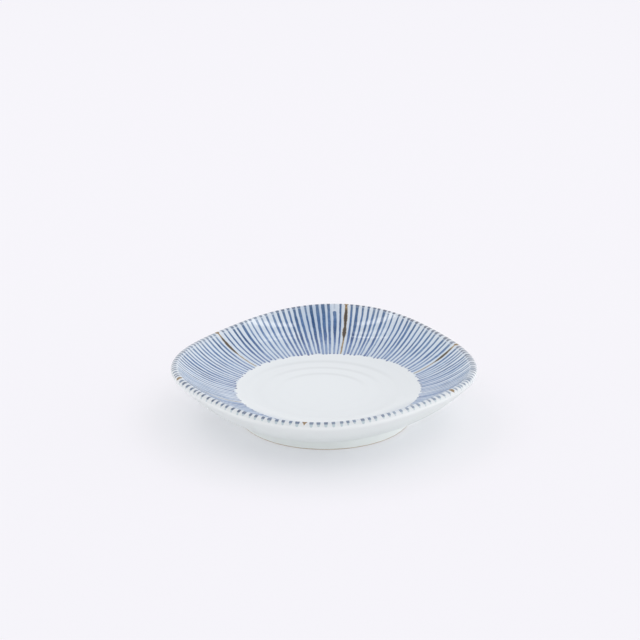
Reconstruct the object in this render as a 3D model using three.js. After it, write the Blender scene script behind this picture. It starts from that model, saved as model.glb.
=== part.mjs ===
// A small porcelain side plate: a shallow dish with four soft corners and a gently waving rim,
// standing on a round foot ring that is luted to the underside of the dish.
// Millimetres, +Z up. The foot stands on z = 0 and the Z axis runs through the middle of the plate.

import * as THREE from 'three';

// Plan of the rim: from the middle to the outer edge of the lip
const halfWidth = 74.7;
const halfLength = 82.4;
const halfSide = 72.8;

// Height of the lip above the table at the same three places
const heightAtWidth = 27.6;
const heightAtLength = 29.6;
const heightAtSide = 28.7;

// Lip: a level top with rounded edges, and the slopes at which the two faces of the wall run into it
const lipWidth = 3;
const lipInnerRound = 0.8;
const lipOuterRound = 2;
const innerLipSlope = 44;
const outerLipSlope = 47;

// Well: a nearly flat round floor, a little lower in the middle
const floorRadius = 36;
const floorDish = 0.4;
const floorThickness = 4.3;
const floorEdgeSlope = 5.5;

// Underside: the slope at which the wall leaves the flat round seat of the foot ring
const seatEdgeSlope = 15;

// Foot ring: a leaning wall with rounded edges, spreading in two coves where it is luted to the dish
const footHeight = 8.8;
const footRadius = 42.3;
const footWidth = 3.4;
const footEdgeRound = 0.5;
const footOuterLean = 10;
const footInnerLean = 8;
const coveHeight = 4.1;
const outerCoveReach = 5;
const innerCoveReach = 3;

// How far each end of a curve keeps its slope, as a share of the curve's width or height
const wallEaseAtFloor = 0.47;
const wallEaseAtLip = 0.32;
const undersideEaseAtLip = 0.5;
const undersideEaseAtSeat = 0.5;
const coveEase = 0.5;

// Fineness of the facets
const segments = 96;
const floorSteps = 3;
const wallSteps = 9;
const lipInnerSteps = 3;
const lipOuterSteps = 6;
const undersideSteps = 8;
const roundSteps = 2;
const coveSteps = 4;

const radians = THREE.MathUtils.degToRad;

const lipInnerBend = lipInnerRound * Math.tan(radians(innerLipSlope / 2));
const floorHeight = footHeight + floorThickness;
const coveStart = footHeight - coveHeight;
const footSpread = (coveStart - footEdgeRound) * Math.tan(radians(footOuterLean));
const seatRadius = footRadius + footSpread + outerCoveReach;

// A value that waves twice and four times round the plate, given on X, on Y and half way between
function waveThrough(onX, onY, between) {
  const mean = (onX + onY) / 4 + between / 2;
  const stretch = (onX - onY) / 2;
  const corner = (onX + onY) / 4 - between / 2;
  return (azimuth) => mean + stretch * Math.cos(2 * azimuth) + corner * Math.cos(4 * azimuth);
}

const rimReach = waveThrough(halfWidth, halfLength, halfSide);
const rimHeight = waveThrough(heightAtWidth, heightAtLength, heightAtSide);

// The point at a distance from another one, along a slope in degrees
function along(point, slope, distance) {
  const step = new THREE.Vector2(Math.cos(radians(slope)), Math.sin(radians(slope)));
  return point.clone().addScaledVector(step, distance);
}

// An arc that runs clockwise round a centre from one angle to a smaller one, in degrees
function roundEdge(centre, radius, start, end) {
  return new THREE.EllipseCurve(centre.x, centre.y, radius, radius, radians(start), radians(end), true);
}

// Points of several curves that follow each other, each shared end written once
function chain(pieces) {
  const points = [];
  for (const [curve, steps] of pieces) {
    const next = curve.getPoints(steps);
    points.push(...(points.length ? next.slice(1) : next));
  }
  return points;
}

// Half section of the dish at one azimuth, from the middle of the well over the lip to the underside
function dishSection(azimuth) {
  const reach = rimReach(azimuth);
  const top = rimHeight(azimuth);
  const lipStart = new THREE.Vector2(reach - lipWidth + lipInnerBend, top);
  const lipEnd = new THREE.Vector2(reach - lipOuterRound, top);
  const innerCentre = along(lipStart, -90, lipInnerRound);
  const outerCentre = along(lipEnd, -90, lipOuterRound);
  const innerLip = along(innerCentre, innerLipSlope + 90, lipInnerRound);
  const outerLip = along(outerCentre, outerLipSlope - 90, lipOuterRound);

  const wellMiddle = new THREE.Vector2(0, floorHeight - floorDish);
  const wellBend = new THREE.Vector2(floorRadius / 2, floorHeight - floorDish);
  const wellEdge = new THREE.Vector2(floorRadius, floorHeight);
  const wallWidth = innerLip.x - wellEdge.x;
  const wallStart = along(wellEdge, floorEdgeSlope, wallWidth * wallEaseAtFloor);
  const wallEnd = along(innerLip, innerLipSlope + 180, wallWidth * wallEaseAtLip);

  const seatEdge = new THREE.Vector2(seatRadius, footHeight);
  const seatMiddle = new THREE.Vector2(0, footHeight);
  const undersideWidth = outerLip.x - seatEdge.x;
  const undersideStart = along(outerLip, outerLipSlope + 180, undersideWidth * undersideEaseAtLip);
  const undersideEnd = along(seatEdge, seatEdgeSlope, undersideWidth * undersideEaseAtSeat);

  return chain([
    [new THREE.QuadraticBezierCurve(wellMiddle, wellBend, wellEdge), floorSteps],
    [new THREE.CubicBezierCurve(wellEdge, wallStart, wallEnd, innerLip), wallSteps],
    [roundEdge(innerCentre, lipInnerRound, innerLipSlope + 90, 90), lipInnerSteps],
    [new THREE.LineCurve(lipStart, lipEnd), 1],
    [roundEdge(outerCentre, lipOuterRound, 90, outerLipSlope - 90), lipOuterSteps],
    [new THREE.CubicBezierCurve(outerLip, undersideStart, undersideEnd, seatEdge), undersideSteps],
    [new THREE.LineCurve(seatEdge, seatMiddle), 1],
  ]);
}

// Closed surface through one half section per azimuth, each running from axis to axis
function turnSections(sectionAt) {
  const sections = Array.from({ length: segments }, (_, i) => sectionAt((2 * Math.PI * i) / segments));
  const inner = sections[0].length - 2;
  const positions = [];
  sections.forEach((section, i) => {
    const azimuth = (2 * Math.PI * i) / segments;
    for (const point of section.slice(1, -1)) {
      positions.push(point.x * Math.cos(azimuth), point.x * Math.sin(azimuth), point.y);
    }
  });
  const first = segments * inner;
  const last = first + 1;
  positions.push(0, 0, sections[0][0].y);
  positions.push(0, 0, sections[0][inner + 1].y);

  const triangles = [];
  for (let i = 0; i < segments; i += 1) {
    const here = i * inner;
    const beside = ((i + 1) % segments) * inner;
    triangles.push(first, here, beside);
    for (let j = 0; j < inner - 1; j += 1) {
      triangles.push(here + j, here + j + 1, beside + j + 1);
      triangles.push(here + j, beside + j + 1, beside + j);
    }
    triangles.push(last, beside + inner - 1, here + inner - 1);
  }

  const geometry = new THREE.BufferGeometry();
  geometry.setAttribute('position', new THREE.Float32BufferAttribute(positions, 3));
  geometry.setIndex(triangles);
  geometry.computeVertexNormals();
  return geometry;
}

// Closed section of the foot ring: up the outside, across the luted top and down the inside
function footSection() {
  const footInside = footRadius - footWidth;
  const footNarrowing = (coveStart - footEdgeRound) * Math.tan(radians(footInnerLean));

  const outerFoot = new THREE.Vector2(footRadius - footEdgeRound, 0);
  const outerCorner = new THREE.Vector2(footRadius, 0);
  const outerEdge = new THREE.Vector2(footRadius, footEdgeRound);
  const outerWall = new THREE.Vector2(footRadius + footSpread, coveStart);
  const outerRise = along(outerWall, 90 - footOuterLean, coveHeight * coveEase);
  const outerTop = new THREE.Vector2(seatRadius, footHeight);
  const outerRunOut = along(outerTop, seatEdgeSlope + 180, outerCoveReach * coveEase);

  const innerTop = new THREE.Vector2(footInside - footNarrowing - innerCoveReach, footHeight);
  const innerRunOut = along(innerTop, 0, innerCoveReach * coveEase);
  const innerWall = new THREE.Vector2(footInside - footNarrowing, coveStart);
  const innerRise = along(innerWall, 90 + footInnerLean, coveHeight * coveEase);
  const innerEdge = new THREE.Vector2(footInside, footEdgeRound);
  const innerCorner = new THREE.Vector2(footInside, 0);
  const innerFoot = new THREE.Vector2(footInside + footEdgeRound, 0);

  return chain([
    [new THREE.QuadraticBezierCurve(outerFoot, outerCorner, outerEdge), roundSteps],
    [new THREE.LineCurve(outerEdge, outerWall), 1],
    [new THREE.CubicBezierCurve(outerWall, outerRise, outerRunOut, outerTop), coveSteps],
    [new THREE.LineCurve(outerTop, innerTop), 1],
    [new THREE.CubicBezierCurve(innerTop, innerRunOut, innerRise, innerWall), coveSteps],
    [new THREE.LineCurve(innerWall, innerEdge), 1],
    [new THREE.QuadraticBezierCurve(innerEdge, innerCorner, innerFoot), roundSteps],
    [new THREE.LineCurve(innerFoot, outerFoot), 1],
  ]);
}

function makeDish() {
  const glaze = new THREE.MeshStandardMaterial({ color: 0xe6ebef, roughness: 0.15, metalness: 0 });
  const dish = new THREE.Mesh(turnSections(dishSection), glaze);
  dish.name = 'dish_body';
  return dish;
}

function makeFootRing() {
  const glaze = new THREE.MeshStandardMaterial({ color: 0xdde3e5, roughness: 0.25, metalness: 0 });
  const ring = new THREE.LatheGeometry(footSection(), segments);
  ring.rotateX(Math.PI / 2);
  const foot = new THREE.Mesh(ring, glaze);
  foot.name = 'foot_ring';
  return foot;
}

const plate = new THREE.Group();
plate.add(makeDish(), makeFootRing());

export default plate;
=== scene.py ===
import math
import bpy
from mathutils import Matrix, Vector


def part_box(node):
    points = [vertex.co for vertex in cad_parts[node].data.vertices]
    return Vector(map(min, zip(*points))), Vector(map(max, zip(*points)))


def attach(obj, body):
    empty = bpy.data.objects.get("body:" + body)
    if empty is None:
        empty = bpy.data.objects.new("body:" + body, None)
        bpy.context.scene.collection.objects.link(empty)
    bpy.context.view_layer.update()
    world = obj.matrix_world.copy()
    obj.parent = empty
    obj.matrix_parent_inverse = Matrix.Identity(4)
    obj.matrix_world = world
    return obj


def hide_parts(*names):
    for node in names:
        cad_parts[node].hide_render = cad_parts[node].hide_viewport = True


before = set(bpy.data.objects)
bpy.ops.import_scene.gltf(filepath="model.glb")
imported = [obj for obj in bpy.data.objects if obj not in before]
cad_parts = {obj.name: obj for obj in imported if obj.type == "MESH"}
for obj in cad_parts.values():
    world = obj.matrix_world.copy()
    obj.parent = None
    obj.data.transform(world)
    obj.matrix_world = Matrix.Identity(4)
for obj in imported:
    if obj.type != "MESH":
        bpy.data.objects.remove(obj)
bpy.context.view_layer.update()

from types import SimpleNamespace

import bpy
import numpy as np
from mathutils import Vector

_, dish_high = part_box("dish_body")
_, foot_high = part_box("foot_ring")

# Lengths are in metres, in the frame of the CAD model, and angles in degrees. The painted pattern counts
# in millimetres along the wall: "crest" from the inner edge of the lip's top, outwards, and "begin" from
# where the paint begins. A share up the wall is 0 where the paint begins and 1 at the lip.
# A pair of values gives two ends: the least and the most, where something starts and where it is full,
# the back and the front of the plate, a side and a corner of it, or the middle and the top of a wave.
MM = 0.001

# Plan and height of the rim: on X, on Y and half way between
HALF_WIDTH = dish_high.x
HALF_LENGTH = dish_high.y
HALF_SIDE = 0.0728
HEIGHT_AT_WIDTH = 0.0276
HEIGHT_AT_LENGTH = dish_high.z
HEIGHT_AT_SIDE = 0.0287

# How the hand-shaped rim strays from that: times round the plate, and how far along X and along Y
REACH_DRIFT = ((1, -0.0007, 0.0), (2, 0.0, -0.0002), (3, 0.0002, -0.0005), (4, 0.0, 0.0005))
HEIGHT_DRIFT = ((1, 0.00058, -0.00073), (2, 0.00003, 0.00022), (3, -0.00015, -0.00018))

# Section of the dish
LIP_WIDTH = 0.003
LIP_INNER_ROUND = 0.0008
LIP_OUTER_ROUND = 0.002
INNER_LIP_SLOPE = 44
OUTER_LIP_SLOPE = 47
FLOOR_RADIUS = 0.036
FLOOR_DISH = 0.0004
FLOOR_THICKNESS = 0.0043
FLOOR_EDGE_SLOPE = 5.5
SEAT_EDGE_SLOPE = 15
WALL_EASE_AT_FLOOR = 0.47
WALL_EASE_AT_LIP = 0.32
UNDERSIDE_EASE = 0.5

# Foot ring
SEAT_RADIUS = foot_high.x
FOOT_HEIGHT = foot_high.z
FOOT_RADIUS = 0.0423
FOOT_WIDTH = 0.0034
FOOT_EDGE_ROUND = 0.0005
FOOT_OUTER_LEAN = 10
FOOT_INNER_LEAN = 8
COVE_HEIGHT = 0.0041
INNER_COVE_REACH = 0.003
COVE_EASE = 0.5

# Fineness of the meshes, and the turn of an edge that is shaded as an edge
SEGMENTS = 432
FLOOR_STEPS = 48
WALL_STEPS = 40
LIP_INNER_STEPS = 6
LIP_FLAT_STEPS = 3
LIP_OUTER_STEPS = 14
UNDERSIDE_STEPS = 48
SEAT_STEPS = 3
CAP_RADIUS = 0.0005
FOOT_EDGE_STEPS = 6
FOOT_WALL_STEPS = 6
COVE_STEPS = 14
FOOT_BASE_STEPS = 2
DISH_SHARP_ANGLE = 13
FOOT_SHARP_ANGLE = 40

# Flat layout of the dish, in shares of a square: a large disc for the painted side, which takes in the
# first steps of the outside, and a small one in a corner for the rest
PAINTED_DISC_RADIUS = 0.49
PAINTED_DISC_CENTRE = (0.5, 0.5)
PLAIN_DISC_RADIUS = 0.075
PLAIN_DISC_CENTRE = (0.08, 0.08)
OUTER_STEPS_IN_FRONT = 4

# Brush strokes: six brown accent strokes, given by their azimuths where they begin in the well and where
# they cross the lip, with the same number of strokes from each one to the next
ACCENTS_AT_WELL = (26.4, 86.2, 147.6, 211.0, 268.6, 336.0)
ACCENTS_AT_LIP = (25.4, 88.3, 148.6, 203.2, 269.7, 333.8)
STROKES_PER_SECTOR = 24
STROKES = STROKES_PER_SECTOR * len(ACCENTS_AT_LIP)
PAINT_RADIUS = 0.0454
PAINT_CENTRE = (0.0015, 0.0002)
AZIMUTH_SAMPLES = 6001

# How strokes wrap over the lip: a shift outwards at the two low corners, and a longer wrap at the back
LIP_SHIFT_AT_LEFT = 0.0011
LIP_SHIFT_AT_RIGHT = 0.00044
LIP_WRAP_AT_BACK = 0.5
FRONT_REACH = 0.4

# Strokes that stand out, by number, with the strokes on either side that share it
BROAD_ACCENT = 1 * STROKES_PER_SECTOR
SHORT_STROKE = BROAD_ACCENT + 2
CORNER_STROKE = -11
FRONT_STROKE = 97
DARK_LIP_STROKE = 11
DARKEST_STROKE = 27
DARKEST_SPREAD = 9
CENTRAL_SPREAD = 11
BLEEDING_STROKE = 29.5
BLEEDING_SPREAD = 6
LADEN_STROKE = 46
LADEN_SPREAD = 9
FRONT_RISE = (-0.3, 0.5)
NUMBER_TOLERANCE = 0.25

# Where each stroke's random numbers start
LAYOUT_SEED = 0.5
LOAD_SEED = 300.5
WIDTH_SEED = 600.5

# Noise along a stroke: how far apart two strokes lie in it, where it starts, and its rate per millimetre
WANDER_NOISE = (13.7, 0.0, 0.16)
SWELL_NOISE = (7.1, 50.0, 0.14)
WASH_NOISE = (5.3, 90.0, 0.08)
MOTTLE_NOISE = (3.7, 0.0, 0.7)
MOTTLE_RATE_ACROSS = 0.8
BROWN_NOISE = (0.31, 4.0, 0.45)
TINT_RATE = 0.9
CLOUD_DETAIL = 2.0

# All strokes: their place and lean in shares of the pitch, and their wander and ends
OFF_CENTRE = 0.22
LEAN = 0.20
WANDER = 0.45
BEGIN_ROUND = 0.7
END_ROUND = 0.9
HAIRLINE = (0.03, 0.15)

# Blue strokes: their ends, the break where the wall bends into the lip, and their tick on the lip
BEGIN_SPREAD = 1.7
BLUE_END = (2.6, 3.4)
SHORT_END = -4.2
BREAK_ON_SIDE = (-0.95, -0.35)
BREAK_AT_CORNER = (-1.70, -0.95)
BREAK_WIDTH = (0.55, 1.05)
BREAK_TO_TICK = 0.15
FRONT_TICK = (-0.9, -0.3)
TICK_RISE = 0.5
TICK_FALL = (2.3, 1.4)
TAIL = (1.5, 2.2)
BEAD = (1.3, 0.3)

# Blue strokes: half width, and what makes it more or less
BLUE_HALF_WIDTH = (0.50, 0.85)
RARELY_BROAD = 2.5
BLUE_SWELL = (0.72, 1.28)
BLUE_WIDENING = (0.90, 1.12)
CORNER_WIDTH = 0.88
SHORT_RISE = (0.35, 0.70)
SHORT_WIDTH = 1.35
DARKEST_NARROW = (0.40, 0.08)
DARKEST_WIDTH = 0.82
TICK_WIDENING = (0.26, 0.18)
CENTRAL_WIDENING = 0.25
TAIL_WIDTH = (0.95, 0.75)
BLUE_SOFTNESS = 0.16

# Blue strokes: how much colour they carry, and what adds to it or takes from it
LOAD = (0.30, 0.75)
WASH_CHANGE = 0.8
MOTTLE_CHANGE = 0.5
DARKEST_RISE = (0.08, 0.40)
DARKEST_GAIN = 0.25
LADEN_RISE = (0.50, 0.80)
LADEN_GAIN = 0.24
LOW_WALL = (0.50, 0.10)
LOW_WALL_LOSS = 0.35
HIGH_WALL = (0.70, 0.97)
HIGH_WALL_LOSS = 0.18
CORNER_LOSS = (0.07, 0.16)
BEAD_GAIN = (0.10, 0.60)
MID_DENSITY = (0.0, 0.5)
DEEP_DENSITY = (0.45, 1.0)
BEAD_STRENGTH = 0.8
TICK_DARKNESS = (0.55, 0.95)
TICK_DARKENING = (0.30, 0.18)
FRONT_TICK_LOSS = 0.46
CENTRAL_TICK_LOSS = 0.30
TAIL_STRENGTH = 0.75

# Blue strokes: how far they cover the white at the break, on the lip and where they carry little, and
# the faint trace above the short stroke
BREAK_STRENGTH = (0.30, 1.0)
CORNER_BREAK_STRENGTH = (0.6, 0.80)
BREAK_COVER = 0.25
TRACE_SPREAD = 0.8
TRACE_RISE = (-3.4, -2.4)
TRACE_COVER = 0.30
TAIL_COVER = (0.60, 0.40)
# Less cover of the ticks at the back corners: part of the painted highlight on the lip
BACK_TICK_HIGHLIGHT = 0.28
FRONT_TICK_THINNING = (0.12, 0.04)
LEAST_COVER = 0.80

# Brown strokes: a thin line with swellings, in pairs from a plain accent to the broad one
BROWN_LINE_HALF_WIDTH = (0.33, 0.42)
UPPER_SWELLING_AT = (0.66, 0.80)
UPPER_SWELLING_REACH = (0.42, 0.26)
UPPER_SWELLING_SHARE = (0.75, 0.90)
DARK_FROM = (0.40, 0.33)
DARK_TO = (0.93, 0.97)

# Brown strokes: the swelling that only the broad one has, what all six share, and their tick on the lip
LOWER_SWELLING_AT = 0.52
LOWER_SWELLING_REACH = 0.16
SWELLING_REACH_BELOW = 0.26
SWELLING_TURN = (0.62, 0.72)
BROWN_HALF_WIDTH = 1.10
BROWN_SWELL = (0.75, 1.25)
BROWN_TICK_RISE = (-1.1, -0.1)
BROWN_TICK_END = 2.5
BROWN_TICK_FALL = (0.2, 1.4)
BROWN_TICK_HALF_WIDTH = 1.15
BROWN_BEGIN = 0.3
BROWN_END = 2.4
BROWN_SOFTNESS = 0.12
DARK_FROM_FADE = 0.10
DARK_TO_FADE = 0.08
DARK_CORE = (0.95, 0.55)
TINT_RISE = (0.35, 0.7)
BROWN_TICK_STRENGTH = 0.8

# Marks of the turning wheel in the well: a shallow spiral groove, deepest at one azimuth, with painted
# shade in it that is strongest at the same azimuth
GROOVE_PITCH = 0.0078
GROOVE_START = 0.0200
GROOVE_WIDTH = 0.0024
GROOVE_DEPTH = 0.00003
GROOVE_INNER_FADE = (0.017, 0.021)
GROOVE_OUTER_FADE = (0.0435, 0.0425)
GROOVE_DEEPEST_AT = 92
GROOVE_FACING = (0.3, 1.0)
GROOVE_LEAST = 0.08

# White ground of the dish: where each tone comes in, and how strongly
BAND_RISE = (-0.6, 0.8)
WELL_EDGE = (0.0, -1.0)
UPPER_WALL = (0.65, 1.0)
UPPER_WALL_STRENGTH = 0.35
BLEEDING_RISE = (0.35, 0.75)
BLEEDING_STRENGTH = 0.32
LIP_RISE = (-0.5, 2.0)
UPPER_OUTSIDE_RISE = (2.2, 4.2)
LOWER_OUTSIDE_RISE = (4.0, 16.0)
POOL_HEIGHT = (0.012, 0.009)
POOL_RISE = (2.0, 5.0)
OUTSIDE = (2.6, 3.4)

# Bare clay at the foot: the height of its edge, the softness of that, and the waver and grain per mm
BARE_HEIGHT = (0.25, 0.55)
BARE_SOFTNESS = 0.06
BARE_WAVER = 0.25
CLAY_GRAIN = 6.0
FOOT_POOL = (3.0, 7.5)

# Glaze: gloss that varies with a haze, duller outside, and a slight ripple. Scales are per metre.
HAZE_SCALE = 90.0
HAZE_DETAIL = 3.0
HAZE_RISE = (0.35, 0.75)
GLOSS_ROUGHNESS = (0.05, 0.11)
OUTSIDE_ROUGHNESS = 0.26
BARE_ROUGHNESS = 0.75
RIPPLE_SCALE = 140.0
RIPPLE_DETAIL = 1.0
RIPPLE_HEIGHT = 0.000012
OUTSIDE_RIPPLE_HEIGHT = 0.0000036
GLAZE_IOR = 1.5

# Camera of the photograph
CAMERA_TURN = 6.24
CAMERA_ELEVATION = 22.39
CAMERA_DISTANCE = 0.9009
CAMERA_TARGET_HEIGHT = 0.015
FOCAL_PIXELS = 1834.16
PHOTO_PIXELS = 640
TARGET_PIXEL = (325.53, 386.37)
SENSOR = 36.0

# Light: a white room that is brighter low down and at its sides, and pairs of strip lamps overhead that
# the glaze mirrors. Each pair has its place along the view, its width, its brightness and the two
# stretches that it covers across the view.
HORIZON_LIGHT = 1.86
ZENITH_LIGHT = 0.49
LEAST_LIGHT = 0.745
MORE_AT_SIDES = 0.72
MORE_AT_RIGHT = 0.18
STRIP_HEIGHT = 1.0
STRIPS = (
    ("near_strip", 0.31, 0.10, 3.0, (-1.00, -0.28), (0.27, 0.86)),
    ("middle_strip", 0.55, 0.07, 1.7, (-0.58, -0.20), (0.16, 0.47)),
    ("far_strip", 0.665, 0.035, 3.3, (-0.51, -0.16), (0.145, 0.43)),
)

# Floor: its size, and its own glow, which makes the shadow fade sooner, from the foot outwards
STUDIO_FLOOR_HALF = 4.0
STUDIO_FLOOR_ROUGHNESS = 0.9
GLOW_RADIUS = (0.055, 0.110)
GLOW = (0.24, 0.85)


def srgb(red, green, blue):
    """A colour written as 8-bit sRGB, as the linear colour that shaders take."""
    def linear(value):
        share = value / 255
        return share / 12.92 if share <= 0.04045 else ((share + 0.055) / 1.055) ** 2.4
    return (linear(red), linear(green), linear(blue), 1.0)


WELL_WHITE = srgb(235, 239, 243)
# Painted shade in the grooves of the turning wheel
GROOVE_SHADE = srgb(226, 230, 234)
BAND_WHITE = srgb(206, 217, 231)
LIP_WHITE = srgb(217, 220, 223)
# Painted highlight on the lip at its corners and at the back
LIP_HIGHLIGHT_WHITE = srgb(232, 234, 237)
UPPER_OUTSIDE = srgb(224, 227, 228)
LOWER_OUTSIDE = srgb(223, 227, 227)
FOOT_WHITE = srgb(230, 234, 233)
POOLED_GLAZE = srgb(224, 231, 230)
PALE_BLUE = srgb(108, 146, 192)
MID_BLUE = srgb(36, 90, 152)
DEEP_BLUE = srgb(20, 62, 116)
VIOLET_BLUE = srgb(96, 112, 168)
TEAL_BLUE = srgb(38, 94, 138)
SLATE_BLUE = srgb(62, 88, 116)
BEAD_BLUE = srgb(44, 48, 116)
LIP_BLUE = srgb(24, 40, 82)
TAIL_BLUE = srgb(150, 178, 186)
TAN = srgb(168, 146, 110)
DEEP_TAN = srgb(128, 102, 68)
DARK_BROWN = srgb(68, 60, 54)
LIP_BROWN = srgb(130, 104, 66)
BARE_CLAY = srgb(196, 178, 156)
GRITTY_CLAY = srgb(176, 152, 124)
STUDIO_FLOOR_COLOUR = srgb(244, 245, 248)
STUDIO_FLOOR_GLOW = srgb(247, 245, 251)
WORLD_WHITE = (1.0, 1.0, 1.0, 1.0)

# Tints over the blue strokes: the shares up the wall where each one starts and is full, and its strength
WALL_TINTS = (
    (VIOLET_BLUE, 0.6, 0.0, 0.45),
    (TEAL_BLUE, 0.3, 1.0, 0.40),
    (SLATE_BLUE, 0.75, 1.0, 0.50),
)


# Shapes


def wave_through(on_x, on_y, between, azimuth):
    """A value that waves twice and four times round the plate, from its values on X, on Y and between."""
    mean = (on_x + on_y) / 4 + between / 2
    stretch = (on_x - on_y) / 2
    corner = (on_x + on_y) / 4 - between / 2
    return mean + stretch * np.cos(2 * azimuth) + corner * np.cos(4 * azimuth)


def drift(waves, azimuth):
    """The sum of a few waves round the plate."""
    return sum(x * np.cos(times * azimuth) + y * np.sin(times * azimuth) for times, x, y in waves)


def along(points, slope, distance):
    """Points of a section moved a distance along a slope in degrees."""
    step = np.array([math.cos(math.radians(slope)), math.sin(math.radians(slope))])
    return points + np.asarray(distance)[..., None] * step


def bezier(controls, steps):
    """Points of a Bezier curve for every section, from two to four control points."""
    t = np.linspace(0, 1, steps + 1)[None, :, None]
    layers = [np.asarray(c)[:, None, :] for c in controls]
    while len(layers) > 1:
        layers = [a * (1 - t) + b * t for a, b in zip(layers, layers[1:])]
    return layers[0]


def straight(start, end, steps=1):
    """Points of a straight stretch for every section."""
    return bezier([start, end], steps)


def arc(centres, radius, start, end, steps):
    """Points of an arc round each centre, between two angles in degrees."""
    angle = np.radians(np.linspace(start, end, steps + 1))
    ring = radius * np.stack([np.cos(angle), np.sin(angle)], axis=-1)
    return centres[:, None, :] + ring[None]


def joined(curves):
    """Curves that follow each other as one, each shared end kept once."""
    return np.concatenate([curves[0]] + [c[:, 1:] for c in curves[1:]], axis=1)


def same(x, z, count):
    """One section point repeated for every azimuth."""
    return np.tile(np.array([x, z], float), (count, 1))


def dish_section(azimuth):
    """Half sections of the dish, from the middle of the well over the lip to the middle of the seat."""
    count = len(azimuth)
    reach = wave_through(HALF_WIDTH, HALF_LENGTH, HALF_SIDE, azimuth)
    reach = reach + drift(REACH_DRIFT, azimuth)
    top = wave_through(HEIGHT_AT_WIDTH, HEIGHT_AT_LENGTH, HEIGHT_AT_SIDE, azimuth)
    top = top + drift(HEIGHT_DRIFT, azimuth)
    inner_bend = LIP_INNER_ROUND * math.tan(math.radians(INNER_LIP_SLOPE / 2))
    lip_start = np.stack([reach - LIP_WIDTH + inner_bend, top], axis=-1)
    lip_end = np.stack([reach - LIP_OUTER_ROUND, top], axis=-1)
    inner_centre = along(lip_start, -90, LIP_INNER_ROUND)
    outer_centre = along(lip_end, -90, LIP_OUTER_ROUND)
    inner_lip = along(inner_centre, INNER_LIP_SLOPE + 90, LIP_INNER_ROUND)
    outer_lip = along(outer_centre, OUTER_LIP_SLOPE - 90, LIP_OUTER_ROUND)

    floor_height = FOOT_HEIGHT + FLOOR_THICKNESS
    well_middle = same(CAP_RADIUS, floor_height - FLOOR_DISH, count)
    well_bend = same(FLOOR_RADIUS / 2, floor_height - FLOOR_DISH, count)
    well_edge = same(FLOOR_RADIUS, floor_height, count)
    wall_width = inner_lip[:, 0] - FLOOR_RADIUS
    wall_start = along(well_edge, FLOOR_EDGE_SLOPE, wall_width * WALL_EASE_AT_FLOOR)
    wall_end = along(inner_lip, INNER_LIP_SLOPE + 180, wall_width * WALL_EASE_AT_LIP)

    seat_edge = same(SEAT_RADIUS, FOOT_HEIGHT, count)
    seat_middle = same(CAP_RADIUS, FOOT_HEIGHT, count)
    under_width = outer_lip[:, 0] - SEAT_RADIUS
    under_start = along(outer_lip, OUTER_LIP_SLOPE + 180, under_width * UNDERSIDE_EASE)
    under_end = along(seat_edge, SEAT_EDGE_SLOPE, under_width * UNDERSIDE_EASE)

    return joined([
        bezier([well_middle, well_bend, well_edge], FLOOR_STEPS),
        bezier([well_edge, wall_start, wall_end, inner_lip], WALL_STEPS),
        arc(inner_centre, LIP_INNER_ROUND, INNER_LIP_SLOPE + 90, 90, LIP_INNER_STEPS),
        straight(lip_start, lip_end, LIP_FLAT_STEPS),
        arc(outer_centre, LIP_OUTER_ROUND, 90, OUTER_LIP_SLOPE - 90, LIP_OUTER_STEPS),
        bezier([outer_lip, under_start, under_end, seat_edge], UNDERSIDE_STEPS),
        straight(seat_edge, seat_middle, SEAT_STEPS),
    ])


def foot_section(count):
    """Closed sections of the foot ring: up the outside, across the luted top and down the inside."""
    cove_start = FOOT_HEIGHT - COVE_HEIGHT
    rise = cove_start - FOOT_EDGE_ROUND
    inside = FOOT_RADIUS - FOOT_WIDTH
    outer_x = FOOT_RADIUS + rise * math.tan(math.radians(FOOT_OUTER_LEAN))
    inner_x = inside - rise * math.tan(math.radians(FOOT_INNER_LEAN))
    cove_rise = np.full(count, COVE_HEIGHT * COVE_EASE)
    cove_run = np.full(count, (SEAT_RADIUS - outer_x) * COVE_EASE)

    outer_foot = same(FOOT_RADIUS - FOOT_EDGE_ROUND, 0, count)
    outer_corner = same(FOOT_RADIUS, 0, count)
    outer_edge = same(FOOT_RADIUS, FOOT_EDGE_ROUND, count)
    outer_wall = same(outer_x, cove_start, count)
    outer_top = same(SEAT_RADIUS, FOOT_HEIGHT, count)
    outer_rise = along(outer_wall, 90 - FOOT_OUTER_LEAN, cove_rise)
    outer_run = along(outer_top, SEAT_EDGE_SLOPE + 180, cove_run)

    inner_top = same(inner_x - INNER_COVE_REACH, FOOT_HEIGHT, count)
    inner_run = same(inner_x - INNER_COVE_REACH * (1 - COVE_EASE), FOOT_HEIGHT, count)
    inner_wall = same(inner_x, cove_start, count)
    inner_rise = along(inner_wall, 90 + FOOT_INNER_LEAN, cove_rise)
    inner_edge = same(inside, FOOT_EDGE_ROUND, count)
    inner_corner = same(inside, 0, count)
    inner_foot = same(inside + FOOT_EDGE_ROUND, 0, count)

    return joined([
        bezier([outer_foot, outer_corner, outer_edge], FOOT_EDGE_STEPS),
        straight(outer_edge, outer_wall, FOOT_WALL_STEPS),
        bezier([outer_wall, outer_rise, outer_run, outer_top], COVE_STEPS),
        straight(outer_top, inner_top),
        bezier([inner_top, inner_run, inner_rise, inner_wall], COVE_STEPS),
        straight(inner_wall, inner_edge, FOOT_WALL_STEPS),
        bezier([inner_edge, inner_corner, inner_foot], FOOT_EDGE_STEPS),
        straight(inner_foot, outer_foot, FOOT_BASE_STEPS),
    ])


def arc_length(section):
    """Distance along each section from its first point."""
    steps = np.linalg.norm(np.diff(section, axis=1), axis=2)
    return np.concatenate([np.zeros((len(section), 1)), np.cumsum(steps, axis=1)], axis=1)


def corner_values(values):
    """Values at the corners of every face of a turned surface, from values at its points."""
    return np.stack([values[:-1, :-1], values[:-1, 1:], values[1:, 1:], values[1:, :-1]], axis=2)


def new_piece(name, points, faces):
    """A mesh object in the scene."""
    mesh = bpy.data.meshes.new(name)
    mesh.from_pydata(points, [], faces)
    piece = bpy.data.objects.new(name, mesh)
    bpy.context.scene.collection.objects.link(piece)
    return piece


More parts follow.
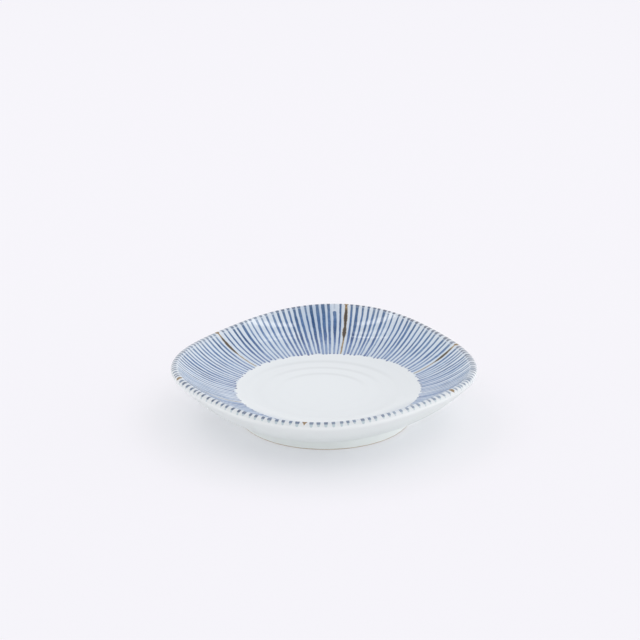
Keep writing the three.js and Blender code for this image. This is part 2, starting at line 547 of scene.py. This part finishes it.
def turned_piece(name, azimuth, section, closed_section, sharp_angle):
    """A surface through one section per azimuth, the last azimuth being the first one again.

    Edges that turn more than the sharp angle, in degrees, are shaded as edges.
    """
    turns = len(azimuth) - 1
    rows = section.shape[1] - (1 if closed_section else 0)
    ring = section[:-1, :rows]
    angle = azimuth[:-1, None]
    points = np.stack([ring[..., 0] * np.cos(angle), ring[..., 0] * np.sin(angle), ring[..., 1]], axis=-1)

    i = np.arange(turns)[:, None]
    j = np.arange(section.shape[1] - 1)[None, :]
    here = i * rows
    beside = (i + 1) % turns * rows
    above = (j + 1) % rows
    quads = np.stack([here + j, here + above, beside + above, beside + j], axis=-1)
    faces = quads.reshape(-1, 4).tolist()
    if not closed_section:
        faces.append((np.arange(turns) * rows).tolist())
        faces.append((np.arange(turns)[::-1] * rows + rows - 1).tolist())

    piece = new_piece(name, points.reshape(-1, 3).tolist(), faces)
    piece.data.polygons.foreach_set("use_smooth", [True] * len(faces))
    piece.data.set_sharp_from_angle(angle=math.radians(sharp_angle))
    return piece


def add_map(piece, name, *corners):
    """A UV map from the values at the corners of the faces and then of any caps."""
    values = np.concatenate([part.reshape(-1, 2) for part in corners])
    layer = piece.data.uv_layers.new(name=name)
    layer.data.foreach_set("uv", values.astype(np.float32).ravel())


def stroke_numbers(azimuth, accents):
    """Stroke coordinate at each azimuth, a whole number and a half in the middle of each stroke.

    Between two accents the strokes share out the rim so that they crowd a little in the long corners.
    """
    fine = np.linspace(-2 * math.pi, 4 * math.pi, AZIMUTH_SAMPLES)
    share = wave_through(HALF_WIDTH, HALF_LENGTH, HALF_SIDE, fine) ** 2
    swept = np.concatenate([[0], np.cumsum((share[1:] + share[:-1]) / 2)])
    places = np.radians(accents)
    places = np.concatenate([places - 2 * math.pi, places, places + 2 * math.pi])
    numbers = np.arange(-len(accents), 2 * len(accents)) * STROKES_PER_SECTOR + 0.5
    return np.interp(np.interp(azimuth, fine, swept), np.interp(places, fine, swept), numbers)


def paint_edge(azimuth):
    """Radius at which the strokes begin: a circle painted a little off the middle."""
    x, y = PAINT_CENTRE
    forward = x * np.cos(azimuth) + y * np.sin(azimuth)
    sideways = -x * np.sin(azimuth) + y * np.cos(azimuth)
    return forward + np.sqrt(PAINT_RADIUS ** 2 - sideways ** 2)


def paint_start(azimuth, section, length):
    """Distance along each section at which the strokes begin."""
    wall = slice(FLOOR_STEPS + WALL_STEPS)
    rows = zip(paint_edge(azimuth), section, length)
    return np.array([np.interp(radius, points[wall, 0], run[wall]) for radius, points, run in rows])


def wrapped_crest(azimuth, past):
    """Distance past the crest as the strokes count it, with their shift and wrap over the lip."""
    in_front = np.clip(FRONT_REACH - np.sin(azimuth), 0, 1)
    mean_shift = (LIP_SHIFT_AT_LEFT + LIP_SHIFT_AT_RIGHT) / 2
    change = (LIP_SHIFT_AT_LEFT - LIP_SHIFT_AT_RIGHT) / 2
    shift = (mean_shift - change * np.cos(azimuth)) * np.cos(azimuth) ** 2 * in_front
    wrap = 1 + LIP_WRAP_AT_BACK * (1 - in_front)
    past = past - shift[:, None]
    return np.where(past > 0, past / wrap[:, None], past)


def make_dish():
    """The dish, with UV maps of where each point lies in the pattern of strokes."""
    azimuth = np.linspace(0, 2 * math.pi, SEGMENTS + 1)
    section = dish_section(azimuth)
    length = arc_length(section)
    begin = paint_start(azimuth, section, length)[:, None]
    crest_row = FLOOR_STEPS + WALL_STEPS + LIP_INNER_STEPS
    crest = length[:, crest_row:crest_row + 1]

    up_wall = np.clip((length - begin) / (crest - begin), 0, 1)
    at_well = stroke_numbers(azimuth, ACCENTS_AT_WELL)[:, None]
    at_lip = stroke_numbers(azimuth, ACCENTS_AT_LIP)[:, None]
    strokes = at_well + up_wall * (at_lip - at_well)
    pitch = section[..., 0] * np.gradient(azimuth)[:, None] / np.gradient(strokes, axis=0)

    dish = turned_piece("glazed_dish", azimuth, section, False, DISH_SHARP_ANGLE)
    stroke = np.stack([strokes, (length - begin) / MM], axis=-1)
    edge = np.stack([wrapped_crest(azimuth, length - crest) / MM, pitch / MM], axis=-1)
    for name, values in (("stroke", stroke), ("edge", edge)):
        add_map(dish, name, corner_values(values), values[:-1, 0], values[:-1, -1][::-1])
    add_bake_map(dish, azimuth, length)
    return dish


def polar(azimuth, radius, centre):
    """Flat places at a radius along each azimuth."""
    ray = np.stack([np.cos(azimuth), np.sin(azimuth)], axis=-1)[:, None, :]
    return np.array(centre) + radius[..., None] * ray


def add_bake_map(dish, azimuth, length):
    """A flat layout of the dish: the painted side as a large disc and the plain back as a small one."""
    lip_steps = LIP_INNER_STEPS + LIP_FLAT_STEPS + LIP_OUTER_STEPS
    split = FLOOR_STEPS + WALL_STEPS + lip_steps + OUTER_STEPS_IN_FRONT
    to_end = length[:, -1:] - length
    front_radius = length / length[:, split].max() * PAINTED_DISC_RADIUS
    back_radius = to_end / to_end[:, split].max() * PLAIN_DISC_RADIUS
    front = polar(azimuth, front_radius, PAINTED_DISC_CENTRE)
    back = polar(-azimuth, back_radius, PLAIN_DISC_CENTRE)
    corners = np.concatenate([corner_values(front)[:, :split], corner_values(back)[:, split:]], axis=1)
    add_map(dish, "OFBake", corners, front[:-1, 0], back[:-1, -1][::-1])


def make_foot():
    """The foot ring, with a UV map of the way round it and the height, in millimetres."""
    azimuth = np.linspace(0, 2 * math.pi, SEGMENTS + 1)
    section = foot_section(len(azimuth))
    foot = turned_piece("glazed_foot", azimuth, section, True, FOOT_SHARP_ANGLE)
    height = section[..., 1] / MM
    around = np.broadcast_to(azimuth[:, None] * FOOT_RADIUS / MM, height.shape)
    add_map(foot, "ring", corner_values(np.stack([around, height], axis=-1)))
    return foot


# Materials


class Graph:
    """Short calls for the nodes of a material or the world. A value is a number or a socket."""

    def __init__(self, owner, shader):
        owner.use_nodes = True
        self.owner = owner
        self.tree = owner.node_tree
        self.shader = self.tree.nodes[shader]

    def node(self, kind, inputs=(), **settings):
        made = self.tree.nodes.new(kind)
        for key, value in settings.items():
            setattr(made, key, value)
        for key, value in dict(inputs).items():
            self.feed(made.inputs[key], value)
        return made

    def feed(self, socket, value):
        if isinstance(value, bpy.types.NodeSocket):
            self.tree.links.new(value, socket)
        else:
            socket.default_value = value

    def math(self, operation, *values):
        made = self.node("ShaderNodeMath", enumerate(values), operation=operation)
        return made.outputs[0]

    def add(self, a, b):
        return self.math("ADD", a, b)

    def less(self, a, b):
        return self.math("SUBTRACT", a, b)

    def times(self, a, b):
        return self.math("MULTIPLY", a, b)

    def most(self, a, b):
        return self.math("MAXIMUM", a, b)

    def limit(self, value):
        """A number kept between 0 and 1."""
        return self.math("MINIMUM", self.most(value, 0.0), 1.0)

    def swing(self, chance, reach):
        """A random number from 0 to 1 as one that reaches as far below 0 as above it."""
        return self.times(self.less(chance, 0.5), reach)

    def blend(self, factor, low, high):
        """A number that goes from low to high with the factor."""
        return self.math("MULTIPLY_ADD", factor, self.less(high, low), low)

    def ease(self, value, low, high):
        """0 below low, 1 above high, smooth between. Low may be the larger one."""
        made = self.node("ShaderNodeMapRange", interpolation_type="SMOOTHSTEP")
        for socket, given in zip(made.inputs, (value, low, high, 0.0, 1.0)):
            self.feed(socket, given)
        return made.outputs[0]

    def bump(self, value, centre, spread):
        """A smooth rise to 1 at the centre and fall to 0 at the spread on either side."""
        return self.ease(self.math("ABSOLUTE", self.less(value, centre)), spread, 0.0)

    def paint(self, factor, below, above):
        """A colour over another one."""
        made = self.node("ShaderNodeMix", data_type="RGBA")
        self.feed(made.inputs["Factor"], factor)
        self.feed(made.inputs[6], below)
        self.feed(made.inputs[7], above)
        return made.outputs[2]

    def chances(self, seed):
        """Three random numbers that stay the same for one seed."""
        made = self.node("ShaderNodeTexWhiteNoise", {"W": seed}, noise_dimensions="1D")
        parts = self.node("ShaderNodeSeparateColor", {"Color": made.outputs["Color"]})
        return parts.outputs[0], parts.outputs[1], parts.outputs[2]

    def cloud(self, x, y):
        """Smooth noise from 0 to 1 over a plane."""
        place = self.node("ShaderNodeCombineXYZ", {"X": x, "Y": y}).outputs[0]
        inputs = {"Vector": place, "Scale": 1.0, "Detail": CLOUD_DETAIL}
        return self.node("ShaderNodeTexNoise", inputs, noise_dimensions="2D").outputs["Fac"]

    def noise(self, place, scale, detail):
        """Smooth noise from 0 to 1 in space."""
        inputs = {"Vector": place, "Scale": scale, "Detail": detail}
        return self.node("ShaderNodeTexNoise", inputs).outputs["Fac"]

    def parts(self, vector):
        """The X, Y and Z of a vector."""
        return tuple(self.node("ShaderNodeSeparateXYZ", {"Vector": vector}).outputs)

    def uv(self, name):
        """The two values of a UV map."""
        return self.parts(self.node("ShaderNodeUVMap", uv_map=name).outputs["UV"])[:2]

    def place(self):
        """The place on the piece, in metres."""
        return self.node("ShaderNodeTexCoord").outputs["Object"]

    def looking(self):
        """1 for a ray of sight, straight, mirrored or through glass, and 0 for one that gathers light."""
        rays = self.node("ShaderNodeLightPath").outputs
        seen = self.most(rays["Is Camera Ray"], rays["Is Glossy Ray"])
        return self.most(seen, rays["Is Transmission Ray"])


def is_stroke(g, index, number):
    """1 on the stroke with a number and 0 on all others."""
    return g.math("COMPARE", index, float(number), NUMBER_TOLERANCE)


def wave_round(g, index, times, at):
    """A wave round the plate between -1 and 1, highest at one stroke."""
    return g.math("COSINE", g.times(g.less(index, float(at)), 2 * math.pi * times / STROKES))


def noise_along(g, index, begin, noise, shift=0.0):
    """Smooth noise from 0 to 1 along every stroke, which may also change across it by a shift."""
    apart, start, rate = noise
    row = g.add(g.add(g.times(index, apart), start), shift)
    return g.cloud(row, g.times(begin, rate))


def stroke_layout(g):
    """Where a point lies in the pattern of strokes."""
    number, begin = g.uv("stroke")
    crest, pitch = g.uv("edge")
    index = g.math("FLOORED_MODULO", g.math("FLOOR", number), float(STROKES))
    up_wall = g.math("DIVIDE", begin, g.less(begin, crest))
    place, lean, _ = g.chances(g.add(index, LAYOUT_SEED))
    centre = g.add(g.swing(place, OFF_CENTRE), g.times(g.swing(lean, LEAN), g.less(up_wall, 0.5)))
    side = g.times(g.less(g.less(g.math("FRACT", number), 0.5), centre), pitch)
    side = g.add(side, g.swing(noise_along(g, index, begin, WANDER_NOISE), WANDER))
    accent = 0.0
    for sector in range(len(ACCENTS_AT_LIP)):
        accent = g.add(accent, is_stroke(g, index, sector * STROKES_PER_SECTOR))
    return SimpleNamespace(
        index=index, begin=begin, crest=crest, up_wall=up_wall, across=g.math("ABSOLUTE", side),
        accent=accent, broad=is_stroke(g, index, BROAD_ACCENT),
        corner=g.blend(wave_round(g, index, 2, CORNER_STROKE), 0.5, 1.0),
        front=g.ease(wave_round(g, index, 1, FRONT_STROKE), *FRONT_RISE),
        darkest=g.bump(index, DARKEST_STROKE, DARKEST_SPREAD))


def rounded_end(g, distance, length):
    """Share of the full width that a stroke has at a distance from its end."""
    share = g.limit(g.math("DIVIDE", distance, length))
    return g.math("SQRT", g.times(share, g.less(2.0, share)))


def stroke_cover(g, s, half, begin, end, softness):
    """Cover of a stroke with rounded ends: 1 inside and 0 outside."""
    width = g.times(half, rounded_end(g, g.less(s.begin, begin), BEGIN_ROUND))
    width = g.times(width, rounded_end(g, g.less(end, s.crest), END_ROUND))
    cover = g.ease(s.across, g.add(width, softness), g.less(width, softness))
    return g.times(cover, g.ease(width, *HAIRLINE))


def blue_layout(g, s):
    """What a blue stroke draws by chance, and where a point lies on its ends and on the lip."""
    early, late, load = g.chances(g.add(s.index, LOAD_SEED))
    broad, cap, thin = g.chances(g.add(s.index, WIDTH_SEED))
    short = is_stroke(g, s.index, SHORT_STROKE)
    begin = g.swing(early, BEGIN_SPREAD)
    end = g.blend(short, g.blend(late, *BLUE_END), SHORT_END)
    break_at = g.blend(s.corner, g.blend(s.front, *BREAK_ON_SIDE), g.blend(s.front, *BREAK_AT_CORNER))
    break_width = g.blend(g.times(s.corner, s.front), *BREAK_WIDTH)
    tick = g.blend(s.front, g.add(break_at, BREAK_TO_TICK), g.blend(s.corner, *FRONT_TICK))
    on_lip = g.times(g.ease(s.crest, tick, g.add(tick, TICK_RISE)), g.ease(s.crest, *TICK_FALL))
    return SimpleNamespace(
        load=load, broad=broad, cap=cap, thin=thin, short=short, begin=begin, end=end,
        on_break=g.bump(s.crest, break_at, break_width), on_lip=on_lip, tail=g.ease(s.crest, *TAIL),
        bead=g.ease(g.less(s.begin, begin), *BEAD),
        dark=wave_round(g, s.index, 2, DARK_LIP_STROKE),
        central=g.bump(s.index, DARKEST_STROKE, CENTRAL_SPREAD))


def blue_half_width(g, s, b):
    """Half width of a blue stroke in millimetres, without its rounded ends."""
    swell = noise_along(g, s.index, s.begin, SWELL_NOISE)
    half = g.blend(g.math("POWER", b.broad, RARELY_BROAD), *BLUE_HALF_WIDTH)
    half = g.times(half, g.blend(swell, *BLUE_SWELL))
    half = g.times(half, g.blend(s.up_wall, *BLUE_WIDENING))
    half = g.times(half, g.blend(s.corner, 1.0, CORNER_WIDTH))
    short = g.times(b.short, g.ease(s.up_wall, *SHORT_RISE))
    half = g.times(half, g.blend(short, 1.0, SHORT_WIDTH))
    narrow = g.times(s.darkest, g.ease(s.up_wall, *DARKEST_NARROW))
    half = g.times(half, g.blend(narrow, 1.0, DARKEST_WIDTH))
    wider = g.times(g.blend(s.front, *TICK_WIDENING), g.blend(b.central, 1.0, CENTRAL_WIDENING))
    half = g.add(half, g.times(b.on_lip, wider))
    return g.times(half, g.blend(b.tail, 1.0, g.blend(s.corner, *TAIL_WIDTH)))


def blue_density(g, s, b):
    """How much colour a blue stroke carries, from 0 to 1."""
    wash = noise_along(g, s.index, s.begin, WASH_NOISE)
    mottle = noise_along(g, s.index, s.begin, MOTTLE_NOISE, g.times(s.across, MOTTLE_RATE_ACROSS))
    density = g.add(g.blend(b.load, *LOAD), g.swing(wash, WASH_CHANGE))
    density = g.add(density, g.swing(mottle, MOTTLE_CHANGE))
    darkest = g.times(s.darkest, g.ease(s.up_wall, *DARKEST_RISE))
    density = g.add(density, g.times(darkest, DARKEST_GAIN))
    laden = g.times(g.bump(s.index, LADEN_STROKE, LADEN_SPREAD), g.ease(s.up_wall, *LADEN_RISE))
    density = g.add(density, g.times(laden, LADEN_GAIN))
    density = g.less(density, g.times(g.ease(s.up_wall, *LOW_WALL), LOW_WALL_LOSS))
    high_loss = g.blend(b.dark, HIGH_WALL_LOSS, 0.0)
    density = g.less(density, g.times(g.ease(s.up_wall, *HIGH_WALL), high_loss))
    corner_loss = g.blend(wave_round(g, s.index, 1, CORNER_STROKE), *CORNER_LOSS)
    density = g.less(density, g.times(s.corner, corner_loss))
    density = g.add(density, g.times(b.bead, g.blend(b.cap, *BEAD_GAIN)))
    return g.limit(density)


def blue_colour(g, s, b, density):
    """Colour of a blue stroke: its load, tints up the wall, a pooled bead and a dark tick on the lip."""
    colour = g.paint(g.ease(density, *MID_DENSITY), PALE_BLUE, MID_BLUE)
    colour = g.paint(g.ease(density, *DEEP_DENSITY), colour, DEEP_BLUE)
    for tint, start, full, strength in WALL_TINTS:
        colour = g.paint(g.times(g.ease(s.up_wall, start, full), strength), colour, tint)
    colour = g.paint(g.times(b.bead, g.times(b.cap, BEAD_STRENGTH)), colour, BEAD_BLUE)
    tick = g.add(g.blend(b.cap, *TICK_DARKNESS), g.times(b.dark, g.blend(s.front, *TICK_DARKENING)))
    tick = g.less(tick, g.times(s.front, FRONT_TICK_LOSS))
    tick = g.less(tick, g.times(b.central, CENTRAL_TICK_LOSS))
    colour = g.paint(g.times(b.on_lip, g.limit(tick)), colour, LIP_BLUE)
    return g.paint(g.times(b.tail, TAIL_STRENGTH), colour, TAIL_BLUE)


def blue_strokes(g, s):
    """Cover and colour of the blue strokes."""
    b = blue_layout(g, s)
    density = blue_density(g, s, b)
    cover = stroke_cover(g, s, blue_half_width(g, s, b), b.begin, b.end, BLUE_SOFTNESS)
    broken = g.times(g.blend(b.thin, *BREAK_STRENGTH), g.less(1.0, b.central))
    broken = g.times(broken, g.less(1.0, s.front))
    broken = g.most(broken, g.times(s.corner, g.blend(s.front, *CORNER_BREAK_STRENGTH)))
    cover = g.times(cover, g.blend(g.times(b.on_break, broken), 1.0, BREAK_COVER))
    trace = g.times(g.bump(s.across, 0.0, TRACE_SPREAD), g.ease(s.crest, *TRACE_RISE))
    cover = g.most(cover, g.times(g.times(b.short, trace), TRACE_COVER))
    cover = g.times(cover, g.blend(b.tail, 1.0, g.blend(s.corner, *TAIL_COVER)))
    # The ticks cover less at the back corners, a painted highlight on the lip, and thin at the front
    at_back = g.times(s.corner, BACK_TICK_HIGHLIGHT)
    tick_thinning_and_highlight = g.blend(s.front, at_back, g.blend(b.dark, *FRONT_TICK_THINNING))
    cover = g.times(cover, g.less(1.0, g.times(b.on_lip, tick_thinning_and_highlight)))
    return g.times(cover, g.blend(density, LEAST_COVER, 1.0)), blue_colour(g, s, b, density)


def brown_strokes(g, s):
    """Cover and colour of the brown strokes: thin tan lines that swell and darken once or twice."""
    lower = g.times(g.bump(s.up_wall, LOWER_SWELLING_AT, LOWER_SWELLING_REACH), s.broad)
    reach_above = g.blend(s.broad, *UPPER_SWELLING_REACH)
    reach = g.blend(g.ease(s.up_wall, *SWELLING_TURN), SWELLING_REACH_BELOW, reach_above)
    upper = g.bump(s.up_wall, g.blend(s.broad, *UPPER_SWELLING_AT), reach)
    swelling = g.most(lower, g.times(upper, g.blend(s.broad, *UPPER_SWELLING_SHARE)))
    half = g.blend(swelling, g.blend(s.broad, *BROWN_LINE_HALF_WIDTH), BROWN_HALF_WIDTH)
    half = g.times(half, g.blend(noise_along(g, s.index, s.begin, BROWN_NOISE), *BROWN_SWELL))
    fall = g.ease(s.crest, BROWN_TICK_END, g.blend(s.corner, *BROWN_TICK_FALL))
    on_lip = g.times(g.ease(s.crest, *BROWN_TICK_RISE), fall)
    half = g.most(half, g.times(on_lip, BROWN_TICK_HALF_WIDTH))
    cover = stroke_cover(g, s, half, BROWN_BEGIN, BROWN_END, BROWN_SOFTNESS)

    start = g.blend(s.broad, *DARK_FROM)
    stop = g.blend(s.broad, *DARK_TO)
    dark = g.ease(s.up_wall, start, g.add(start, DARK_FROM_FADE))
    dark = g.times(dark, g.ease(s.up_wall, stop, g.less(stop, DARK_TO_FADE)))
    core = g.ease(s.across, *(g.times(half, share) for share in DARK_CORE))
    tint = g.cloud(g.times(s.across, TINT_RATE), g.times(s.begin, TINT_RATE))
    colour = g.paint(g.ease(tint, *TINT_RISE), TAN, DEEP_TAN)
    colour = g.paint(g.times(on_lip, BROWN_TICK_STRENGTH), colour, LIP_BROWN)
    return cover, g.paint(g.times(dark, core), colour, DARK_BROWN)


def wheel_marks(g, place):
    """Share of its depth that the spiral groove of the turning wheel has at a place in the well, which is
    also the share of the painted shade in the groove.
    """
    x, y, _ = g.parts(place)
    radius = g.math("SQRT", g.add(g.times(x, x), g.times(y, y)))
    azimuth = g.math("ARCTAN2", y, x)
    turns = g.math("DIVIDE", g.less(radius, GROOVE_START), GROOVE_PITCH)
    turns = g.less(turns, g.math("DIVIDE", azimuth, 2 * math.pi))
    off = g.swing(g.math("FRACT", g.add(turns, 0.5)), GROOVE_PITCH)
    groove = g.bump(off, 0.0, GROOVE_WIDTH)
    ends = g.times(g.ease(radius, *GROOVE_INNER_FADE), g.ease(radius, *GROOVE_OUTER_FADE))
    facing = g.math("COSINE", g.less(azimuth, math.radians(GROOVE_DEEPEST_AT)))
    pressed = g.blend(g.ease(facing, *GROOVE_FACING), GROOVE_LEAST, 1.0)
    return g.times(g.times(groove, pressed), ends)


def glaze_roughness(g, place, outside):
    """Roughness of the glaze: glossy inside and softer outside."""
    haze = g.ease(g.noise(place, HAZE_SCALE, HAZE_DETAIL), *HAZE_RISE)
    return g.add(g.blend(haze, *GLOSS_ROUGHNESS), g.times(outside, OUTSIDE_ROUGHNESS))


def finish_glaze(g, place, outside, depth):
    """The relief of the glaze, a slight ripple over grooves of a depth, and its refraction."""
    ripple = g.blend(outside, RIPPLE_HEIGHT / MM, OUTSIDE_RIPPLE_HEIGHT / MM)
    ripple = g.times(g.noise(place, RIPPLE_SCALE, RIPPLE_DETAIL), ripple)
    height = g.less(ripple, g.math("DIVIDE", depth, MM))
    relief = g.node("ShaderNodeBump", {"Height": height, "Strength": 1.0, "Distance": MM})
    g.feed(g.shader.inputs["Normal"], relief.outputs["Normal"])
    g.feed(g.shader.inputs["IOR"], GLAZE_IOR)


def dish_ground(g, s, place, groove_and_shade):
    """White of the dish below the strokes: well with painted shade in the wheel grooves, band, lip with a
    painted highlight at its corners and back, outside and the glaze pooled low outside.
    """
    _, _, height = g.parts(place)
    # Painted shade in the wheel grooves, darker where a groove is deeper
    ground = g.paint(groove_and_shade, WELL_WHITE, GROOVE_SHADE)
    ground = g.paint(g.ease(s.begin, *BAND_RISE), ground, BAND_WHITE)
    ground = g.paint(g.times(g.ease(s.up_wall, *UPPER_WALL), UPPER_WALL_STRENGTH), ground, LIP_WHITE)
    bleeding = g.bump(s.index, BLEEDING_STROKE, BLEEDING_SPREAD)
    bleeding = g.times(bleeding, g.ease(s.up_wall, *BLEEDING_RISE))
    ground = g.paint(g.times(bleeding, BLEEDING_STRENGTH), ground, PALE_BLUE)
    # Painted highlight: the lip is lighter at the corners and the back, and not at the front
    lip_highlight = g.times(g.most(s.corner, s.darkest), g.less(1.0, s.front))
    lip = g.paint(lip_highlight, LIP_WHITE, LIP_HIGHLIGHT_WHITE)
    ground = g.paint(g.ease(s.crest, *LIP_RISE), ground, lip)
    ground = g.paint(g.ease(s.crest, *UPPER_OUTSIDE_RISE), ground, UPPER_OUTSIDE)
    ground = g.paint(g.ease(s.crest, *LOWER_OUTSIDE_RISE), ground, LOWER_OUTSIDE)
    pooled = g.times(g.ease(height, *POOL_HEIGHT), g.ease(s.crest, *POOL_RISE))
    return g.paint(pooled, ground, POOLED_GLAZE)


def dish_material():
    g = Graph(bpy.data.materials.new("dish_glaze"), "Principled BSDF")
    s = stroke_layout(g)
    place = g.place()
    groove_and_shade = g.times(wheel_marks(g, place), g.ease(s.begin, *WELL_EDGE))
    outside = g.ease(s.crest, *OUTSIDE)
    blue, blue_paint = blue_strokes(g, s)
    brown, brown_paint = brown_strokes(g, s)
    colour = dish_ground(g, s, place, groove_and_shade)
    colour = g.paint(g.times(blue, g.less(1.0, s.accent)), colour, blue_paint)
    colour = g.paint(g.times(brown, s.accent), colour, brown_paint)
    g.feed(g.shader.inputs["Base Color"], colour)
    g.feed(g.shader.inputs["Roughness"], glaze_roughness(g, place, outside))
    finish_glaze(g, place, outside, g.times(groove_and_shade, GROOVE_DEPTH))
    return g.owner


def foot_material():
    g = Graph(bpy.data.materials.new("foot_glaze"), "Principled BSDF")
    around, height = g.uv("ring")
    place = g.place()
    line = g.blend(g.cloud(g.times(around, BARE_WAVER), 0.0), *BARE_HEIGHT)
    bare = g.ease(height, g.add(line, BARE_SOFTNESS), g.less(line, BARE_SOFTNESS))
    grain = g.cloud(g.times(around, CLAY_GRAIN), g.times(height, CLAY_GRAIN))
    clay = g.paint(grain, BARE_CLAY, GRITTY_CLAY)
    glaze = g.paint(g.ease(height, *FOOT_POOL), FOOT_WHITE, POOLED_GLAZE)
    g.feed(g.shader.inputs["Base Color"], g.paint(bare, glaze, clay))
    g.feed(g.shader.inputs["Roughness"], g.blend(bare, glaze_roughness(g, place, 1.0), BARE_ROUGHNESS))
    finish_glaze(g, place, 1.0, 0.0)
    return g.owner


def floor_material():
    """A matt floor that also glows a little by itself to the eye, less so in the plate's shadow."""
    g = Graph(bpy.data.materials.new("studio_floor"), "Principled BSDF")
    g.feed(g.shader.inputs["Base Color"], STUDIO_FLOOR_COLOUR)
    g.feed(g.shader.inputs["Roughness"], STUDIO_FLOOR_ROUGHNESS)
    g.feed(g.shader.inputs["Specular IOR Level"], 0.0)
    glow = g.node("ShaderNodeEmission", {"Color": STUDIO_FLOOR_GLOW, "Strength": 1.0})
    radius = g.node("ShaderNodeVectorMath", {0: g.place()}, operation="LENGTH").outputs["Value"]
    share = g.times(g.looking(), g.blend(g.ease(radius, *GLOW_RADIUS), *GLOW))
    inputs = {0: share, 1: g.shader.outputs[0], 2: glow.outputs[0]}
    mixed = g.node("ShaderNodeMixShader", inputs)
    g.feed(g.tree.nodes["Material Output"].inputs["Surface"], mixed.outputs[0])
    g.owner.cycles.emission_sampling = "NONE"
    return g.owner


# The plate


dish = make_dish()
dish.data.materials.append(dish_material())
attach(dish, "root")
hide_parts("dish_body")

foot = make_foot()
foot.data.materials.append(foot_material())
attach(foot, "root")
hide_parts("foot_ring")


# Studio


def make_floor():
    corners = [(-1, -1), (1, -1), (1, 1), (-1, 1)]
    points = [(x * STUDIO_FLOOR_HALF, y * STUDIO_FLOOR_HALF, 0) for x, y in corners]
    floor = new_piece("studio_floor", points, [(0, 1, 2, 3)])
    floor.data.materials.append(floor_material())


def turned(x, y, z):
    """A place in the photograph's frame, where +Y runs away from the camera, in the plate's frame."""
    a = math.radians(CAMERA_TURN)
    return Vector((x * math.cos(a) - y * math.sin(a), x * math.sin(a) + y * math.cos(a), z))


def make_camera():
    """A camera that puts the middle of the plate at its pixel of the photograph, without a shift."""
    elevation = math.radians(CAMERA_ELEVATION)
    right = math.atan2(TARGET_PIXEL[0] - PHOTO_PIXELS / 2, FOCAL_PIXELS)
    down = math.atan2(TARGET_PIXEL[1] - PHOTO_PIXELS / 2, FOCAL_PIXELS)
    pitch = elevation - down
    away = CAMERA_DISTANCE * math.cos(elevation)
    height = CAMERA_TARGET_HEIGHT + CAMERA_DISTANCE * math.sin(elevation)
    ahead = math.cos(right) * math.cos(pitch)
    forward = turned(-math.sin(right) * math.cos(pitch), ahead, -math.sin(pitch))

    data = bpy.data.cameras.new("camera")
    data.sensor_width = SENSOR
    data.lens = FOCAL_PIXELS / PHOTO_PIXELS * SENSOR
    camera = bpy.data.objects.new("camera", data)
    camera.location = turned(0, -away, height)
    camera.rotation_euler = forward.to_track_quat("-Z", "Y").to_euler()
    bpy.context.scene.collection.objects.link(camera)
    bpy.context.scene.camera = camera


def make_strip(name, start, stop, y, width, glow):
    """A strip lamp overhead, along the photograph's X, facing down."""
    length = stop - start
    data = bpy.data.lights.new(name, "AREA")
    data.shape = "RECTANGLE"
    data.size = length
    data.size_y = width
    data.energy = glow * math.pi * length * width
    lamp = bpy.data.objects.new(name, data)
    lamp.location = turned((start + stop) / 2, y, STRIP_HEIGHT)
    lamp.rotation_euler = (0, 0, math.radians(CAMERA_TURN))
    bpy.context.scene.collection.objects.link(lamp)


def make_room():
    """The white room: plain white to the eye, and graded light for the plate."""
    g = Graph(bpy.data.worlds.new("studio"), "Background")
    direction = g.node("ShaderNodeTexCoord").outputs["Generated"]
    _, _, rise = g.parts(direction)
    light = g.blend(g.most(rise, 0.0), HORIZON_LIGHT, ZENITH_LIGHT)
    inputs = {0: direction, 1: turned(1, 0, 0)}
    side = g.node("ShaderNodeVectorMath", inputs, operation="DOT_PRODUCT").outputs["Value"]
    more = g.add(g.times(side, MORE_AT_RIGHT), g.times(g.times(side, side), MORE_AT_SIDES))
    light = g.times(light, g.add(more, LEAST_LIGHT))
    g.feed(g.shader.inputs["Strength"], g.blend(g.looking(), light, 1.0))
    g.feed(g.shader.inputs["Color"], WORLD_WHITE)
    bpy.context.scene.world = g.owner


def make_lamps():
    for name, y, width, glow, left, right in STRIPS:
        make_strip(name + "_left", *left, y, width, glow)
        make_strip(name + "_right", *right, y, width, glow)


make_floor()
make_camera()
make_room()
make_lamps()
bpy.context.scene.view_settings.view_transform = "Standard"

bpy.context.view_layer.update()
